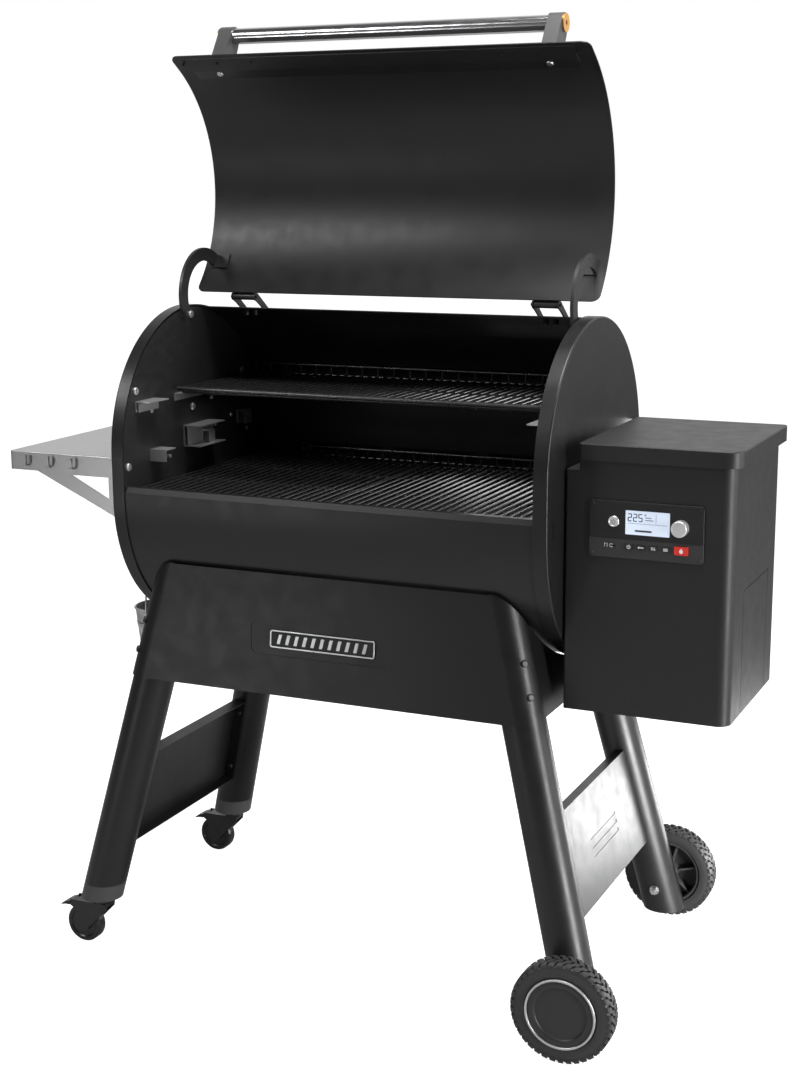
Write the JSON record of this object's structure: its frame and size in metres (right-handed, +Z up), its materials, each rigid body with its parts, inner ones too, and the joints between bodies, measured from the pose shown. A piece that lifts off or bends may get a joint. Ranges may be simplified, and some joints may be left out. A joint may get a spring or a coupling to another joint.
{
  "type": "pellet smoker grill",
  "caption": "Barrel pellet smoker grill with hinged lid, grates, pellet hopper with auger and controller, side shelf, grease bucket and wheeled legs.",
  "frame": {"origin": "middle of the footprint on the floor, under the middle of the whole object's box", "axes": "+Z up; +X to the hopper side, along the barrel; the cook stands at -Y and faces +Y"},
  "size_m": [1.372, 0.684, 1.6949],
  "materials": {
    "barrel_paint": "satin powder coat",
    "inner_enamel": "dark enamel",
    "bracket_steel": "satin",
    "grate_enamel": "porcelain enamel, semi-gloss",
    "chassis_paint": "satin powder coat",
    "leg_plug_plastic": "moulded grain",
    "bolt_black": "black oxide",
    "badge_metal": "brushed, black field",
    "hopper_paint": "satin powder coat",
    "motor_metal": "satin",
    "bezel_plastic": "fine grain",
    "screen_glass": "backlit display",
    "knob_metal": "satin",
    "key_plastic": "rubbery",
    "ignite_red": "rubbery",
    "handle_chrome": "polished",
    "handle_bracket_alu": "light grey satin",
    "disc_copper": "satin",
    "tyre_rubber": "matte",
    "hub_plastic": "matte with a silver ring",
    "caster_rubber": "semi-gloss",
    "caster_plastic": "semi-gloss",
    "shelf_steel": "brushed",
    "bucket_zinc": "galvanised"
  },
  "bodies": {
    "base": {"barrel_shell": "barrel_paint", "end_cap_left": "barrel_paint", "end_cap_right": "barrel_paint", "inner_panels": "inner_enamel", "wall_brackets": "bracket_steel", "heat_baffle": "inner_enamel", "fire_pot": "inner_enamel", "pellet_bin": "hopper_paint", "auger_motor": "motor_metal", "fan_housing": "motor_metal", "exhaust_duct": "barrel_paint", "hinge_brackets": "bracket_steel", "legs": "chassis_paint", "leg_plugs": "leg_plug_plastic", "front_skirt": "chassis_paint", "badge_plate": "badge_metal", "chassis_plates": "chassis_paint", "side_panels": "chassis_paint", "chassis_bolts": "bolt_black", "wheel_axles": "bracket_steel", "hopper_body": "hopper_paint", "control_bezel": "bezel_plastic", "display_screen": "screen_glass", "hopper_fittings": "bezel_plastic", "side_shelf": "shelf_steel", "shelf_brackets": "shelf_steel", "drain_spout": "bucket_zinc"},
    "lid": {"lid_shell": "barrel_paint", "lid_arms": "inner_enamel", "hinge_leaves": "bracket_steel", "handle_tube": "handle_chrome", "handle_brackets": "handle_bracket_alu", "handle_discs": "disc_copper", "lid_bolts": "bolt_black"},
    "hopper_door": {"hopper_lid": "hopper_paint"},
    "knob": {"control_knob": "knob_metal"},
    "power": {"power_button": "knob_metal"},
    "key_1": {"menu_key_1": "key_plastic"},
    "key_2": {"menu_key_2": "key_plastic"},
    "key_3": {"menu_key_3": "key_plastic"},
    "key_4": {"menu_key_4": "key_plastic"},
    "ignite": {"ignite_button": "ignite_red"},
    "wheel_front": {"tyre_front": "tyre_rubber", "wheel_hub_front": "hub_plastic"},
    "wheel_rear": {"tyre_rear": "tyre_rubber", "wheel_hub_rear": "hub_plastic"},
    "swivel_front": {"caster_fork_front": "caster_plastic"},
    "swivel_rear": {"caster_fork_rear": "caster_plastic"},
    "roller_front": {"caster_wheel_front": "caster_rubber"},
    "roller_rear": {"caster_wheel_rear": "caster_rubber"},
    "pedal_front": {"brake_lever_front": "caster_plastic"},
    "pedal_rear": {"brake_lever_rear": "caster_plastic"},
    "grate_left": {"main_grate_left": "grate_enamel"},
    "grate_right": {"main_grate_right": "grate_enamel"},
    "rack": {"upper_grate": "grate_enamel"},
    "tray": {"drip_tray": "inner_enamel"},
    "bail": {"bucket_bail": "bucket_zinc"},
    "bucket": {"grease_bucket": "bucket_zinc"},
    "auger": {"auger_screw": "motor_metal"},
    "fan": {"fan_impeller": "motor_metal"}
  },
  "joints": [
    {"name": "lid_hinge", "type": "hinge", "parent": "base", "child": "lid", "pos_m": [-0.019, 0.0517, 1.2078], "axis": [1, 0, 0], "range_deg": [0, 126.3]},
    {"name": "hopper_lid_hinge", "type": "hinge", "parent": "base", "child": "hopper_door", "pos_m": [0.546, 0.1655, 0.992], "axis": [-1, 0, 0], "range_deg": [0, 95]},
    {"name": "knob_spin", "type": "hinge", "parent": "base", "child": "knob", "pos_m": [0.5915, -0.174, 0.878], "axis": [0, 1, 0], "continuous": true},
    {"name": "power_press", "type": "slide", "parent": "base", "child": "power", "axis": [0, 1, 0], "range_m": [0, 0.0015], "stiffness_N_per_m": 400},
    {"name": "key_1_press", "type": "slide", "parent": "base", "child": "key_1", "axis": [0, 1, 0], "range_m": [0, 0.001], "stiffness_N_per_m": 400},
    {"name": "key_2_press", "type": "slide", "parent": "base", "child": "key_2", "axis": [0, 1, 0], "range_m": [0, 0.001], "stiffness_N_per_m": 400},
    {"name": "key_3_press", "type": "slide", "parent": "base", "child": "key_3", "axis": [0, 1, 0], "range_m": [0, 0.001], "stiffness_N_per_m": 400},
    {"name": "key_4_press", "type": "slide", "parent": "base", "child": "key_4", "axis": [0, 1, 0], "range_m": [0, 0.001], "stiffness_N_per_m": 400},
    {"name": "ignite_press", "type": "slide", "parent": "base", "child": "ignite", "axis": [0, 1, 0], "range_m": [0, 0.001], "stiffness_N_per_m": 400},
    {"name": "wheel_front_spin", "type": "hinge", "parent": "base", "child": "wheel_front", "pos_m": [0.4575, -0.32, 0.0886], "axis": [0, 1, 0], "continuous": true},
    {"name": "wheel_rear_spin", "type": "hinge", "parent": "base", "child": "wheel_rear", "pos_m": [0.4575, 0.32, 0.0886], "axis": [0, 1, 0], "continuous": true},
    {"name": "caster_swivel_front", "type": "hinge", "parent": "base", "child": "swivel_front", "pos_m": [-0.48935, -0.24829, 0.097], "axis": [0, 0, 1], "continuous": true},
    {"name": "caster_spin_front", "type": "hinge", "parent": "swivel_front", "child": "roller_front", "pos_m": [-0.52785, -0.24829, 0.0365], "axis": [0, 1, 0], "continuous": true},
    {"name": "brake_front", "type": "hinge", "parent": "swivel_front", "child": "pedal_front", "pos_m": [-0.54785, -0.24829, 0.076], "axis": [0, -1, 0], "range_deg": [0, 12]},
    {"name": "caster_swivel_rear", "type": "hinge", "parent": "base", "child": "swivel_rear", "pos_m": [-0.48935, 0.24829, 0.097], "axis": [0, 0, 1], "continuous": true},
    {"name": "caster_spin_rear", "type": "hinge", "parent": "swivel_rear", "child": "roller_rear", "pos_m": [-0.52785, 0.24829, 0.0365], "axis": [0, 1, 0], "continuous": true},
    {"name": "brake_rear", "type": "hinge", "parent": "swivel_rear", "child": "pedal_rear", "pos_m": [-0.54785, 0.24829, 0.076], "axis": [0, -1, 0], "range_deg": [0, 12]},
    {"name": "grate_left_lift", "type": "slide", "parent": "base", "child": "grate_left", "axis": [0, 0, 1], "range_m": [0, 0.012]},
    {"name": "grate_right_lift", "type": "slide", "parent": "base", "child": "grate_right", "axis": [0, 0, 1], "range_m": [0, 0.012]},
    {"name": "rack_slide", "type": "slide", "parent": "base", "child": "rack", "axis": [0, -1, 0], "range_m": [0, 0.11]},
    {"name": "tray_lift", "type": "slide", "parent": "base", "child": "tray", "axis": [0, 0, 1], "range_m": [0, 0.012]},
    {"name": "bucket_lift", "type": "slide", "parent": "base", "child": "bail", "axis": [0, 0, 1], "range_m": [0, 0.01]},
    {"name": "bucket_swing", "type": "hinge", "parent": "bail", "child": "bucket", "pos_m": [-0.496, 0.006, 0.589], "axis": [0, 1, 0], "range_deg": [-6, 6]},
    {"name": "auger_spin", "type": "hinge", "parent": "base", "child": "auger", "pos_m": [0.381, 0.006, 0.69], "axis": [1, 0, 0], "continuous": true},
    {"name": "fan_spin", "type": "hinge", "parent": "base", "child": "fan", "pos_m": [0.421, 0.088, 0.64], "axis": [1, 0, 0], "continuous": true}
  ]
}
